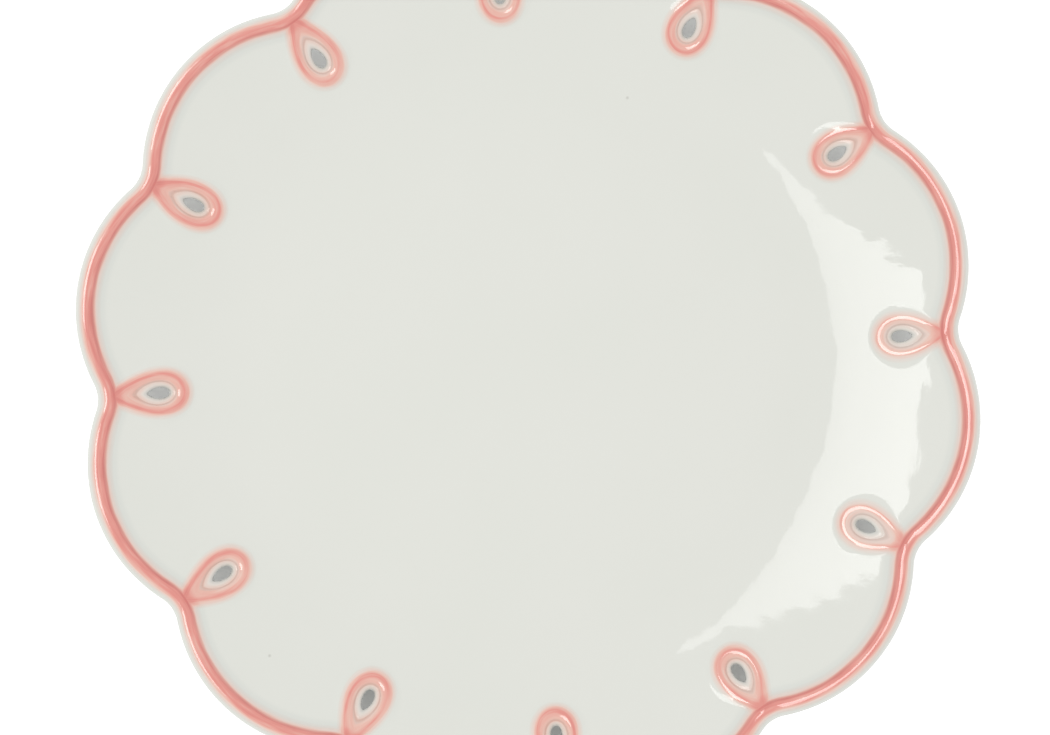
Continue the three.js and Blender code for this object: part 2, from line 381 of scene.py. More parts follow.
def bed_depth(across, outer, inner):
    """How far the surface under a bead is let in, fading to nothing at the bead's borders."""
    share = np.where(across > 0, across / outer, across / inner)
    return BED * np.maximum(1 - share**2, 0) ** 2


def cord_bed(x, y):
    return bed_depth(across_cord(*from_notch(x, y)), CORD_OUTER, CORD_INNER)


def loop_bed(x, y):
    return bed_depth(across_loop(*from_loop(x, y)), LOOP_OUTER, LOOP_INNER)


# Meshes
class Skin:
    """Points of one piece, with what is known about each, and the faces over them."""

    def __init__(self):
        self.points = []
        self.normals = []
        self.marks = []
        self.faces = []
        self.count = 0

    def add(self, x, y, z, normals=None, cord=None, loop=None):
        """Adds points and gives back their numbers. A mark is a distance across the nearest bead."""
        size = len(x)
        self.points.append(np.stack([x, y, z], axis=1))
        self.normals.append(np.zeros((size, 3)) if normals is None else normals)
        far = np.full(size, FAR_FROM_SLIP)
        self.marks.append(np.stack([far if cord is None else cord, far if loop is None else loop], axis=1))
        self.count += size
        return np.arange(self.count - size, self.count)

    def add_on_rim(self, x, y, sunk):
        """Adds points of the upper side, sunk a little where another piece lies over them."""
        marks = {"cord": across_cord(*from_notch(x, y)), "loop": across_loop(*from_loop(x, y))}
        return self.add(x, y, rim_height(x, y) - sunk, rim_normal(x, y), **marks)

    def bridge(self, row, next_row):
        """Faces between two closed rows."""
        corners = [row, next_row, np.roll(next_row, -1), np.roll(row, -1)]
        self.faces += np.stack(corners, axis=1).tolist()

    def piece(self, name, slot, material, angle=0.0):
        """Makes the piece, turned about the plate's axis."""
        points = np.vstack(self.points) * MM
        normals = np.vstack(self.normals)
        points[:, :2] = turned(points[:, :2], angle)
        normals[:, :2] = turned(normals[:, :2], angle)
        mesh = bpy.data.meshes.new(name)
        mesh.from_pydata(points.tolist(), [], self.faces)
        mesh.shade_smooth()
        marks = np.vstack(self.marks)
        for column, mark in enumerate(("across_cord", "across_loop")):
            layer = mesh.attributes.new(mark, "FLOAT", "POINT")
            layer.data.foreach_set("value", marks[:, column].astype(np.float32))
        mesh.normals_split_custom_set_from_vertices(normals.tolist())
        mesh.materials.append(material)
        obj = bpy.data.objects.new(f"{name}_glazed", mesh)
        bpy.context.scene.collection.objects.link(obj)
        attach(obj, "root")
        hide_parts(name)
        return obj


def turned(points, angle):
    cos = math.cos(angle)
    sin = math.sin(angle)
    return points @ np.array([[cos, sin], [-sin, cos]])


def all_round(points):
    """The same points at every scallop."""
    return np.vstack([turned(points, STEP * number) for number in range(SCALLOPS)])


def set_in_notch(points, number):
    """Points of a loop of mean length on +X, moved to a notch and to the length of the loop there."""
    out = CREST[1] - (CREST[1] - points[:, 0]) * loop_stretch(number)
    return turned(np.stack([out, points[:, 1]], axis=1), STEP * number)


def in_all_notches(points):
    return [set_in_notch(points, number) for number in range(SCALLOPS)]


def drop_half(ring, steps=300):
    """Points along one side of a drop in the notch on +X, from its tip to its round end."""
    start, tip, breadth, point = ring
    share = np.sin(np.linspace(math.pi / 2, 0, steps + 1)) ** 2
    return np.stack([start + (tip - start) * share, drop_width(share, breadth, point)], axis=1)


def moved_out(half, distance):
    """A drop's side moved outwards, with a round about the tip."""
    along = np.diff(half, axis=0)
    normals = np.stack([along[:, 1], -along[:, 0]], axis=1) / np.hypot(*along.T)[:, None]
    turn = np.linspace(0, math.atan2(normals[0, 1], normals[0, 0]), TIP_POINTS)
    about_tip = half[0] + distance * np.stack([np.cos(turn), np.sin(turn)], axis=1)
    side = (half[1:] + half[:-1]) / 2 + distance * normals
    return np.vstack([about_tip, side, half[-1] - [distance, 0]])


def closed_ring(half):
    """A whole ring from one of its sides, evenly spaced, anticlockwise from its tip."""
    length = np.concatenate([[0], np.cumsum(np.hypot(*np.diff(half, axis=0).T))])
    places = np.linspace(0, length[-1], RING_STEPS + 1)
    side = np.stack([np.interp(places, length, half[:, 0]), np.interp(places, length, half[:, 1])], axis=1)
    return np.vstack([side, side[-2:0:-1] * [1, -1]])


def drop_ring(ring):
    return closed_ring(drop_half(ring))


def loop_ring(across):
    """Ring of points at a signed distance from a loop's crest."""
    if across > 0:
        return closed_ring(moved_out(drop_half(CREST), across))
    return drop_ring(between_drops(-across / LIP_INSET))


def cord_row(across, overruns=()):
    """Points at a signed distance from the middle of the cord that runs from the notch on +X to the next,
    starting some way short of the first notch and ending as far past the next."""
    radius = CORD_NOTCH_RADIUS - across
    turn = np.concatenate([-np.array(overruns) / radius, np.linspace(0, NOTCH_TURN, NOTCH_POINTS)[:-1]])
    notch = np.stack([NOTCH_OUT - radius * np.cos(turn), radius * np.sin(turn)], axis=1)
    radius = CORD_RADIUS + across
    turn = np.linspace(-NOTCH_TURN, STEP / 2, SCALLOP_POINTS)
    scallop = np.stack([SCALLOP_OUT + radius * np.cos(turn), SCALLOP_ASIDE + radius * np.sin(turn)], axis=1)
    half = np.vstack([notch, scallop])
    other_half = turned(half[-2::-1] * [1, -1], STEP)
    return np.vstack([half, other_half])


def triangles(rings, loose, hole):
    """Faces over the space inside the first ring, by way of the loose points, with a hole in each notch."""
    points = np.vstack([*rings, loose])
    edges = []
    first = 0
    for ring in rings:
        size = len(ring)
        edges += [(first + i, first + (i + 1) % size) for i in range(size)]
        first += size
    inside_the_edges = 1
    merged_within = 1e-6
    corners = [Vector(point) for point in points]
    result = delaunay_2d_cdt(corners, edges, [], inside_the_edges, merged_within)
    source = np.array([origin[0] for origin in result[3]])
    faces = source[np.array(result[2])]
    middles = points[faces].mean(axis=1)
    return points, faces[~inside_drop(*from_loop(*middles.T), hole)].tolist()


def polar_points(radii, spacing):
    """Points on rings about the plate's axis, a given distance apart."""
    rings = [np.zeros((1, 2))]
    for number, radius in enumerate(radii):
        size = SCALLOPS * max(1, round(STEP * radius / spacing(radius)))
        turn = 2 * math.pi * (np.arange(size) + 0.5 * (number % 2)) / size
        rings.append(radius * np.stack([np.cos(turn), np.sin(turn)], axis=1))
    return np.vstack(rings)


def upper_points():
    """Loose points of the upper face, close together on and beside the beads."""
    rows = [cord_row(across)[:-1] for across in np.arange(*BESIDE_CORD, BEAD_SPACING)]
    cords = all_round(np.vstack(rows))
    distances = [-LIP_INSET * share for share, _ in LOOP_TUCK[1:]]
    distances += [*np.linspace(-LOOP_INNER, 0, LOOP_INNER_ROWS)[:-1]]
    distances += [*np.arange(0, BESIDE_LOOP, BEAD_SPACING)]
    loops = np.vstack(in_all_notches(np.vstack([loop_ring(across) for across in distances])))
    radii = [*WELL_RINGS, *np.arange(WELL_RADIUS, EDGE_RADIUS, RIM_RING_SPACING)]
    fill = polar_points(radii, lambda radius: WELL_SPACING if radius < WELL_RADIUS else RIM_SPACING)
    near_cord = [np.abs(across_cord(*from_notch(*group.T))) for group in (cords, loops, fill)]
    near_loop = [np.abs(across_loop(*from_loop(*group.T))) for group in (cords, loops, fill)]
    beyond = np.hypot(*fill.T) > outline_radius(np.arctan2(fill[:, 1], fill[:, 0])) - CORD_INSET
    clear = (near_cord[2] > CLEAR_OF_CORD) & (near_loop[2] > CLEAR_OF_LOOP) & ~beyond
    kept = [cords[near_cord[0] < near_loop[0]], loops[near_loop[1] < near_cord[1]], fill[clear]]
    return np.vstack(kept)


def edge_ring(outline, angles, lift):
    radius, height = edge_point(outline, lift)
    return radius * np.cos(angles), radius * np.sin(angles), height


def dish_skin():
    """The dish: an upper face, a round edge, an under face, and twelve eyelets through them."""
    skin = Skin()
    angles = 2 * math.pi * np.arange(EDGE_POINTS) / EDGE_POINTS
    outline = outline_radius(angles)
    lift_end = edge_round(outline)[2] - math.pi / 2

    # Upper face
    edge = np.stack(edge_ring(outline, angles, SHEET_END)[:2], axis=1)
    lips = in_all_notches(drop_ring(LIP))
    points, faces = triangles([edge, *lips], upper_points(), LIP)
    x, y = points.T
    upper = skin.add_on_rim(x, y, np.maximum(cord_bed(x, y), loop_bed(x, y)))
    skin.faces += faces

    # Under face
    under_edge = np.stack(edge_ring(outline, angles, lift_end)[:2], axis=1)
    mouths = in_all_notches(drop_ring(MOUTH))
    radii = [*UNDER_RINGS, *np.arange(WELL_RADIUS, EDGE_RADIUS, UNDER_RING_SPACING)]
    fill = polar_points(radii, lambda radius: UNDER_SPACING)
    limit = outline_radius(np.arctan2(fill[:, 1], fill[:, 0])) - 2 * EDGE_ROUNDING
    clear = (np.hypot(*fill.T) < limit) & ~inside_drop(*from_loop(*fill.T), MOUTH + CLEAR_OF_MOUTH)
    points, faces = triangles([under_edge, *mouths], fill[clear], MOUTH)
    height = under_height(np.hypot(*points.T))
    height[: len(angles)] = edge_ring(outline, angles, lift_end)[2]
    under = skin.add(*points.T, height)
    skin.faces += [[under[corner] for corner in reversed(face)] for face in faces]

    # Round edge
    row = upper[: len(angles)]
    for share in np.linspace(0, 1, EDGE_ROWS)[1:-1]:
        x, y, z = edge_ring(outline, angles, SHEET_END + (lift_end - SHEET_END) * share)
        next_row = skin.add(x, y, z, cord=across_cord(*from_notch(x, y)))
        skin.bridge(row, next_row)
        row = next_row
    skin.bridge(row, under[: len(angles)])

    # Eyelets
    size = len(lips[0])
    for number in range(SCALLOPS):
        first = len(angles) + number * size
        eyelet(skin, upper[first : first + size], under[first : first + size], number)
    return skin


def eyelet(skin, lip_row, mouth_row, number):
    """The wall of one eyelet: a round edge inside the lip, a straight throat and a softened lower mouth."""
    lip_height = rim_height(*set_in_notch(drop_ring(LIP), number).T)
    row = lip_row
    for turn in np.radians(np.linspace(0, 90, LIP_ROWS)[1:]):
        x, y = set_in_notch(drop_ring(LIP + (THROAT - LIP) * math.sin(turn)), number).T
        depth = LIP_ROUND * (1 - math.cos(turn))
        inset = np.full(len(x), -LIP_INSET - THROAT_MARK * math.sin(turn))
        next_row = skin.add(x, y, lip_height - depth, cord=across_cord(*from_notch(x, y)), loop=inset)
        skin.bridge(next_row, row)
        row = next_row
    for share in MOUTH_ROWS:
        flare = 1 - math.sqrt(1 - share**2)
        x, y = set_in_notch(drop_ring(THROAT + (MOUTH - THROAT) * flare), number).T
        z = under_height(np.hypot(x, y)) + MOUTH_DEPTH * math.sqrt(1 - share**2)
        next_row = skin.add(x, y, z, loop=np.full(len(x), -LIP_INSET - THROAT_MARK))
        skin.bridge(next_row, row)
        row = next_row
    skin.bridge(mouth_row, row)


def cord_skin():
    """One edge cord: the top of the bead, tucked in along its borders and past its ends, and a flat bed."""
    skin = Skin()
    borders = [(CORD_OUTER + over, over) for over in OVERRUNS]
    borders += [(across, 0) for across in np.linspace(CORD_OUTER, -CORD_INNER, CORD_ROWS)]
    borders += [(-CORD_INNER - over, over) for over in reversed(OVERRUNS)]
    rows = []
    for across, over in borders:
        x, y = cord_row(across, OVERRUNS).T
        end_tuck = np.zeros(len(x))
        end_tuck[: len(OVERRUNS)] = np.square(OVERRUNS)
        sunk = TUCK * (over**2 + end_tuck + end_tuck[::-1])
        rows.append(skin.add_on_rim(x, y, sunk))
    for across in CORD_BED_ROWS:
        x, y = cord_row(across, OVERRUNS).T
        rows.append(skin.add(x, y, rim_height(x, y) - BED_FLOOR))
    sections = np.stack(rows, axis=1)
    for section, next_section in zip(sections, sections[1:]):
        skin.bridge(section, next_section)
    skin.faces += [sections[0].tolist(), sections[-1][::-1].tolist()]
    return skin


def loop_skin(number):
    """A notch's loop: the top of its bead, tucked in at both borders and under the cords, and a bed."""
    skin = Skin()
    borders = [(-LIP_INSET * share, over) for share, over in LOOP_TUCK]
    borders += [(across, 0) for across in np.linspace(-LOOP_INNER, 0, LOOP_INNER_ROWS)[:-1]]
    borders += [(across, 0) for across in np.linspace(0, LOOP_OUTER, LOOP_OUTER_ROWS)]
    borders += [(LOOP_OUTER + over, over) for over in reversed(OVERRUNS)]
    rows = []
    for across, over in borders:
        x, y = set_in_notch(loop_ring(across), number).T
        rows.append(skin.add_on_rim(x, y, TUCK * over**2 + cord_bed(x, y)))
    for across in LOOP_BED_ROWS:
        x, y = set_in_notch(loop_ring(across), number).T
        rows.append(skin.add(x, y, rim_height(x, y) - BED_FLOOR))
    for row, next_row in zip(rows, rows[1:] + rows[:1]):
        skin.bridge(row, next_row)
    return skin


def arc(centre, radius, start, end, steps=6):
    """Points along an arc between two angles, in degrees."""
    turn = np.radians(np.linspace(start, end, steps + 1))
    return [(centre[0] + radius * math.cos(a), centre[1] + radius * math.sin(a)) for a in turn]


def foot_skin():
    """The foot ring: drawn out into the dish at its root, soft at the corners of its resting flat."""
    middle = FOOT_OUTER - FOOT_ROOT_WIDTH / 2
    half = FOOT_REST_WIDTH / 2
    side = half + FOOT_ROUNDING
    root = side + FOOT_DRAFT
    luted = FOOT_HEIGHT - FOOT_FILLET
    outer = [(half, 0.0), *arc((half, FOOT_ROUNDING), FOOT_ROUNDING, -80, -10)]
    outer += arc((root + FOOT_FILLET, luted), FOOT_FILLET, 180, 90)
    outer += [(root + FOOT_FILLET + FOOT_LET_IN, FOOT_HEIGHT + BED)]
    profile = [(-x, z) for x, z in reversed(outer)] + outer
    angles = 2 * math.pi * np.arange(FOOT_SIDES) / FOOT_SIDES
    skin = Skin()
    rows = []
    for across, height in profile:
        radius = middle + across
        rows.append(skin.add(radius * np.cos(angles), radius * np.sin(angles), np.full(FOOT_SIDES, height)))
    for row, next_row in zip(rows, rows[1:] + rows[:1]):
        skin.bridge(next_row, row)
    return skin


# Materials: scales of noise are in features to the metre
NOISE_RANGE = (0.3, 0.7)  # where nearly all noise lies
BRUSH_SCALE = 1.5  # features of the brush's streaks to the millimetre, across a bead
BRUSH_DRAWN = 90.0  # a metre along a bead counts as this many millimetres across it
BRUSH_STRENGTH = (0.74, 1.24)


def add_node(tree, kind, **settings):
    node = tree.nodes.new(kind)
    for name, value in settings.items():
        setattr(node, name, value)
    return node


def feed(tree, source, socket):
    """Links a socket to another, or sets its value."""
    if isinstance(source, bpy.types.NodeSocket):
        tree.links.new(source, socket)
    else:
        socket.default_value = source


def maths(tree, operation, *values):
    node = add_node(tree, "ShaderNodeMath", operation=operation)
    for value, socket in zip(values, node.inputs):
        feed(tree, value, socket)
    return node.outputs[0]


def blend(tree, factor, first, second, kind="MIX"):
    node = add_node(tree, "ShaderNodeMix", data_type="RGBA", blend_type=kind)
    feed(tree, factor, node.inputs[0])
    feed(tree, first, node.inputs[6])
    feed(tree, second, node.inputs[7])
    return node.outputs[2]


def spread(tree, value, low, high, start=0.0, end=1.0):
    """A value between low and high, spread over another range and held at its ends."""
    node = add_node(tree, "ShaderNodeMapRange")
    for source, socket in zip((value, low, high, start, end), node.inputs):
        feed(tree, source, socket)
    return node.outputs[0]


def noise(tree, scale, detail=2.0, vector=None):
    """Noise over the surface, about 0.5 on average, with features one over the scale across, in metres."""
    node = add_node(tree, "ShaderNodeTexNoise")
    place = vector or add_node(tree, "ShaderNodeTexCoord").outputs["Object"]
    feed(tree, place, node.inputs["Vector"])
    node.inputs["Scale"].default_value = scale
    node.inputs["Detail"].default_value = detail
    return node.outputs["Fac"]


def brushed(tree, distance):
    """Strength of a brushed bead: fine streaks that follow it, by the distance across it in millimetres."""
    place = add_node(tree, "ShaderNodeTexCoord")
    along = add_node(tree, "ShaderNodeSeparateXYZ")
    feed(tree, place.outputs["Object"], along.inputs[0])
    drawn = add_node(tree, "ShaderNodeCombineXYZ")
    feed(tree, distance, drawn.inputs["X"])
    feed(tree, maths(tree, "MULTIPLY", along.outputs["X"], BRUSH_DRAWN), drawn.inputs["Y"])
    feed(tree, maths(tree, "MULTIPLY", along.outputs["Y"], BRUSH_DRAWN), drawn.inputs["Z"])
    streaks = noise(tree, BRUSH_SCALE, 2, drawn.outputs[0])
    return spread(tree, streaks, *NOISE_RANGE, *BRUSH_STRENGTH)


def profile_ramp(tree, distance, stops):
    """A value that follows the given stops, each a distance in millimetres and a value."""
    low = stops[0][0]
    high = stops[-1][0]
    node = add_node(tree, "ShaderNodeValToRGB")
    ramp = node.color_ramp
    ramp.interpolation = "EASE"
    while len(ramp.elements) < len(stops):
        ramp.elements.new(0.5)
    for element, (place, value) in zip(ramp.elements, stops):
        element.position = (place - low) / (high - low)
        element.color = (value, value, value, 1)
    feed(tree, spread(tree, distance, low, high), node.inputs["Fac"])
    return node.outputs["Color"]


def colour(red, green, blue):
    """Linear colour from the eight-bit values that a screen shows."""
    shares = [level / 255 for level in (red, green, blue)]
    linear = [share / 12.92 if share < 0.04045 else ((share + 0.055) / 1.055) ** 2.4 for share in shares]
    return (*linear, 1.0)


def new_group(name, inputs, outputs):
    tree = bpy.data.node_groups.new(name, "ShaderNodeTree")
    for title, kind in inputs:
        tree.interface.new_socket(title, in_out="INPUT", socket_type=kind)
    for title, kind in outputs:
        tree.interface.new_socket(title, in_out="OUTPUT", socket_type=kind)
    return tree, add_node(tree, "NodeGroupInput"), add_node(tree, "NodeGroupOutput")


GLAZE_PATCHES = 45
GLAZE_RIPPLE = 112
GLAZE_PEEL = 650
PEEL_SHARE = 0.05  # height of the orange peel, in those of the ripple
GLAZE_CLOUDS = 28


def glaze_skin_group():
    """How fired glaze lies: slow ripples, a fine orange peel and patches of softer gloss."""
    inputs = [(title, "NodeSocketFloat") for title in ("Smooth", "Soft")]
    outputs = [(title, "NodeSocketFloat") for title in ("Roughness", "Height", "Cloud")]
    tree, given, result = new_group("glaze_skin", inputs, outputs)
    patches = noise(tree, GLAZE_PATCHES, 3)
    roughness = spread(tree, patches, *NOISE_RANGE, given.outputs["Smooth"], given.outputs["Soft"])
    ripple = noise(tree, GLAZE_RIPPLE, 1)
    peel = maths(tree, "MULTIPLY", noise(tree, GLAZE_PEEL, 1), PEEL_SHARE)
    feed(tree, roughness, result.inputs["Roughness"])
    feed(tree, maths(tree, "ADD", ripple, peel), result.inputs["Height"])
    feed(tree, noise(tree, GLAZE_CLOUDS, 3), result.inputs["Cloud"])
    return tree


GLAZE_WHITE = colour(228, 229, 222)
SLIP_COLOURS = {
    "Ground": GLAZE_WHITE,
    # painted shade in the hollow inside the cords' feet
    "Hollow shade": colour(220, 222, 216),
    "Wash": colour(237, 189, 172),
    "Slip": colour(229, 140, 127),
    "Thick": colour(211, 106, 95),
    # the line of slip at the lips with painted shade in their crease, and the painted shade line at the
    # cords' feet
    "Line": colour(168, 132, 120),
    # painted shade down the eyelets' throats
    "Painted throat shade": colour(182, 187, 187),
}

# Amounts of slip and strengths of the other tones, each at a distance across a bead in millimetres: the
# other tones are painted shade, and at the lips a line of slip with painted shade in it
CORD_PAINT = [
    (-3.4, 0.0), (-2.7, 0.04), (-2.2, 0.1), (-1.8, 0.2), (-1.45, 0.46), (-1.2, 0.74), (-0.95, 0.82),
    (-0.6, 0.64), (0.0, 0.58), (0.5, 0.6), (0.9, 0.48), (1.3, 0.31), (1.7, 0.17), (2.1, 0.07), (2.6, 0.0),
]
LOOP_PAINT = [
    (-3.0, 0.0), (-2.5, 0.06), (-2.1, 0.13), (-1.75, 0.21), (-1.3, 0.28), (-0.8, 0.35), (-0.4, 0.43),
    (0.0, 0.55), (0.35, 0.54), (0.7, 0.38), (1.1, 0.25), (1.5, 0.14), (2.0, 0.05), (2.5, 0.0),
]
JUNCTION_PAINT = [(-4.2, 0.0), (-2.0, 0.2), (-1.3, 0.22), (-0.6, 0.12), (0.4, 0.0)]
# Painted shade in the hollow inside each cord's foot
FOOT_HOLLOW_SHADE = [(-5.0, 0.0), (-3.6, 0.6), (-2.8, 1.0), (-1.8, 0.7), (-1.0, 0.0)]
# Painted shade on the round down into each eyelet's throat
THROAT_PAINTED_SHADE = [(-2.8, 0.3), (-2.65, 0.24), (-2.5, 0.06), (-2.35, 0.0)]
# A brownish line of slip at each lip, darkened further as painted shade in the crease there
LIP_LINE_AND_SHADE = [(-1.95, 0.0), (-1.85, 0.17), (-1.75, 0.29), (-1.6, 0.2), (-1.35, 0.0)]
# Painted shade: a thin dark line where each cord's foot meets the dish
FOOT_SHADE_LINE = [(-2.0, 0.0), (-1.6, 0.13), (-1.35, 0.24), (-1.1, 0.13), (-0.7, 0.0)]

# How the slip changes from place to place
THIN_ANGLE = math.radians(-15)  # the loops on this side of the plate have thin slip
THIN_SIDE = Vector((math.cos(THIN_ANGLE), math.sin(THIN_ANGLE), 0))
THIN_REACH = (66 * MM, 88 * MM)  # along that side, where the slip goes from full to thin
THIN_SLIP = 0.6
SWAY_SCALE = 70
SWAY_RANGE = (0.25, 0.75)
SWAY = (-0.12, 0.12)  # how far, in millimetres, the paint wanders off its bead
STRENGTH_SCALE = 22
STRENGTH = (0.82, 1.2)
BY_LOOP = (2.6, 0.4)  # distances from a loop's crest over which it takes over
UPPER_SIDE = (0.02, 0.2)  # upward part of the normal over which the paint comes in
WASH_AMOUNT = (0.0, 0.3)  # amounts of slip over which each colour comes in
SLIP_AMOUNT = (0.25, 0.6)
THICK_AMOUNT = (0.6, 1.0)


def slip_paint_group():
    """Pink slip trailed over a ground colour and thinner at its borders, a line of slip at each lip, and
    painted shade along the cords' feet, in the lips' creases and in the throats.
    """
    inputs = [(title, "NodeSocketColor") for title in SLIP_COLOURS]
    tree, given, result = new_group("slip_paint", inputs, [("Color", "NodeSocketColor")])
    across = {}
    for mark in ("across_cord", "across_loop"):
        exact = add_node(tree, "ShaderNodeAttribute", attribute_name=mark).outputs["Fac"]
        sway = spread(tree, noise(tree, SWAY_SCALE, 1), *SWAY_RANGE, *SWAY)
        across[mark] = maths(tree, "ADD", exact, sway)
    cord = profile_ramp(tree, across["across_cord"], CORD_PAINT)
    cord = maths(tree, "MULTIPLY", cord, brushed(tree, across["across_cord"]))
    loop = profile_ramp(tree, across["across_loop"], LOOP_PAINT)
    loop = maths(tree, "MULTIPLY", loop, brushed(tree, across["across_loop"]))
    strength = spread(tree, noise(tree, STRENGTH_SCALE, 2), *NOISE_RANGE, *STRENGTH)
    place = add_node(tree, "ShaderNodeTexCoord")
    reach = add_node(tree, "ShaderNodeVectorMath", operation="DOT_PRODUCT")
    feed(tree, place.outputs["Object"], reach.inputs[0])
    feed(tree, THIN_SIDE, reach.inputs[1])
    thinned = spread(tree, reach.outputs["Value"], *THIN_REACH, 1.0, THIN_SLIP)
    loop = maths(tree, "MULTIPLY", loop, thinned)
    by_loop = spread(tree, across["across_loop"], *BY_LOOP)
    junction = maths(tree, "MULTIPLY", profile_ramp(tree, across["across_cord"], JUNCTION_PAINT), by_loop)
    trailed = maths(tree, "ADD", maths(tree, "MAXIMUM", cord, loop), junction)
    facing = add_node(tree, "ShaderNodeSeparateXYZ")
    feed(tree, place.outputs["Normal"], facing.inputs[0])
    upper_side = spread(tree, facing.outputs["Z"], *UPPER_SIDE)
    amount = maths(tree, "MULTIPLY", maths(tree, "MULTIPLY", trailed, strength), upper_side)
    # painted shade in the hollow inside the cords' feet, on upward faces
    pooled = maths(tree, "MULTIPLY", profile_ramp(tree, across["across_cord"], FOOT_HOLLOW_SHADE), upper_side)
    # painted shade along the cords' feet, left out near the loops
    foot = profile_ramp(tree, across["across_cord"], FOOT_SHADE_LINE)
    foot = maths(tree, "MULTIPLY", foot, maths(tree, "SUBTRACT", 1.0, by_loop))
    # the lip line: slip, with painted shade in the crease
    lip = profile_ramp(tree, across["across_loop"], LIP_LINE_AND_SHADE)
    lines_and_shade = maths(tree, "MULTIPLY", maths(tree, "MAXIMUM", foot, lip), upper_side)
    shade = blend(tree, pooled, given.outputs["Ground"], given.outputs["Hollow shade"])
    shade = blend(tree, spread(tree, amount, *WASH_AMOUNT), shade, given.outputs["Wash"])
    shade = blend(tree, spread(tree, amount, *SLIP_AMOUNT), shade, given.outputs["Slip"])
    shade = blend(tree, spread(tree, amount, *THICK_AMOUNT), shade, given.outputs["Thick"])
    shade = blend(tree, lines_and_shade, shade, given.outputs["Line"])
    # painted shade down into the eyelets' throats
    throat = profile_ramp(tree, across["across_loop"], THROAT_PAINTED_SHADE)
    shade = blend(tree, throat, shade, given.outputs["Painted throat shade"])
    feed(tree, shade, result.inputs["Color"])
    return tree


RIPPLE_HEIGHT = 0.95e-4
GLAZE_IOR = 1.5
COAT_IOR = 1.75
CLOUD_TINT = (0.985, 0.99, 0.985, 1)
IRON_SPECKS = [(30.2, 65.4), (-70.5, -68.1)]  # burnt spots in the glaze
SPECK_REACH = (0.1 * MM, 0.55 * MM)
SPECK_STRENGTH = 0.25
SPECK_COLOUR = colour(118, 108, 92)
LINE_WAVES = 220
LINE_HEIGHT = (0.45 * MM, 1.1 * MM)  # where the glaze stops above the foot ring's resting flat
LINE_SOFTNESS = 0.06 * MM
CLAY_GRAIN = 2600
CLAY_COLOURS = (colour(214, 205, 190), colour(236, 230, 219))
CLAY_ROUGHNESS = (0.78, 0.92)
TOAST_WIDTH = 0.3 * MM  # of the clay that is browned beside the glaze
TOAST_STRENGTH = 0.45
TOAST_COLOUR = colour(205, 178, 148)


def new_material(name):
    material = bpy.data.materials.new(name)
    material.use_nodes = True
    tree = material.node_tree
    return material, tree, tree.nodes["Principled BSDF"]


def place_group(tree, group, values):
    node = add_node(tree, "ShaderNodeGroup", node_tree=group)
    for title, value in values.items():
        feed(tree, value, node.inputs[title])
    return node


def ripple_normal(tree, height, shader):
    bump = add_node(tree, "ShaderNodeBump")
    bump.inputs["Strength"].default_value = 1.0
    bump.inputs["Distance"].default_value = RIPPLE_HEIGHT
    feed(tree, height, bump.inputs["Height"])
    feed(tree, bump.outputs["Normal"], shader.inputs["Normal"])


def iron_speck(tree, place):
    """Strength of a speck, which fades to nothing beside it."""
    coordinates = add_node(tree, "ShaderNodeTexCoord")
    flat = add_node(tree, "ShaderNodeVectorMath", operation="MULTIPLY")
    feed(tree, coordinates.outputs["Object"], flat.inputs[0])
    feed(tree, (1, 1, 0), flat.inputs[1])
    distance = add_node(tree, "ShaderNodeVectorMath", operation="DISTANCE")
    feed(tree, flat.outputs[0], distance.inputs[0])
    feed(tree, (place[0] * MM, place[1] * MM, 0), distance.inputs[1])
    return spread(tree, distance.outputs["Value"], *SPECK_REACH, SPECK_STRENGTH, 0.0)


def white_glaze(glaze_skin, slip_paint):
    material, tree, shader = new_material("white_glaze")
    lay = place_group(tree, glaze_skin, {"Smooth": 0.03, "Soft": 0.065})
    paint = place_group(tree, slip_paint, SLIP_COLOURS)
    cloud = spread(tree, lay.outputs["Cloud"], *NOISE_RANGE)
    toned = blend(tree, cloud, CLOUD_TINT, (1, 1, 1, 1))
    shade = blend(tree, 1.0, paint.outputs["Color"], toned, "MULTIPLY")
    for place in IRON_SPECKS:
        shade = blend(tree, iron_speck(tree, place), shade, SPECK_COLOUR)
    feed(tree, shade, shader.inputs["Base Color"])
    feed(tree, lay.outputs["Roughness"], shader.inputs["Roughness"])
    shader.inputs["IOR"].default_value = GLAZE_IOR
    ripple_normal(tree, lay.outputs["Height"], shader)
    return material


def pink_slip(glaze_skin, slip_paint):
    material, tree, shader = new_material("pink_slip")
    lay = place_group(tree, glaze_skin, {"Smooth": 0.06, "Soft": 0.1})
    paint = place_group(tree, slip_paint, SLIP_COLOURS)
    feed(tree, paint.outputs["Color"], shader.inputs["Base Color"])
    feed(tree, lay.outputs["Roughness"], shader.inputs["Roughness"])
    shader.inputs["IOR"].default_value = GLAZE_IOR
    shader.inputs["Coat Weight"].default_value = 1.0
    shader.inputs["Coat IOR"].default_value = COAT_IOR
    ripple_normal(tree, lay.outputs["Height"], shader)
    return material


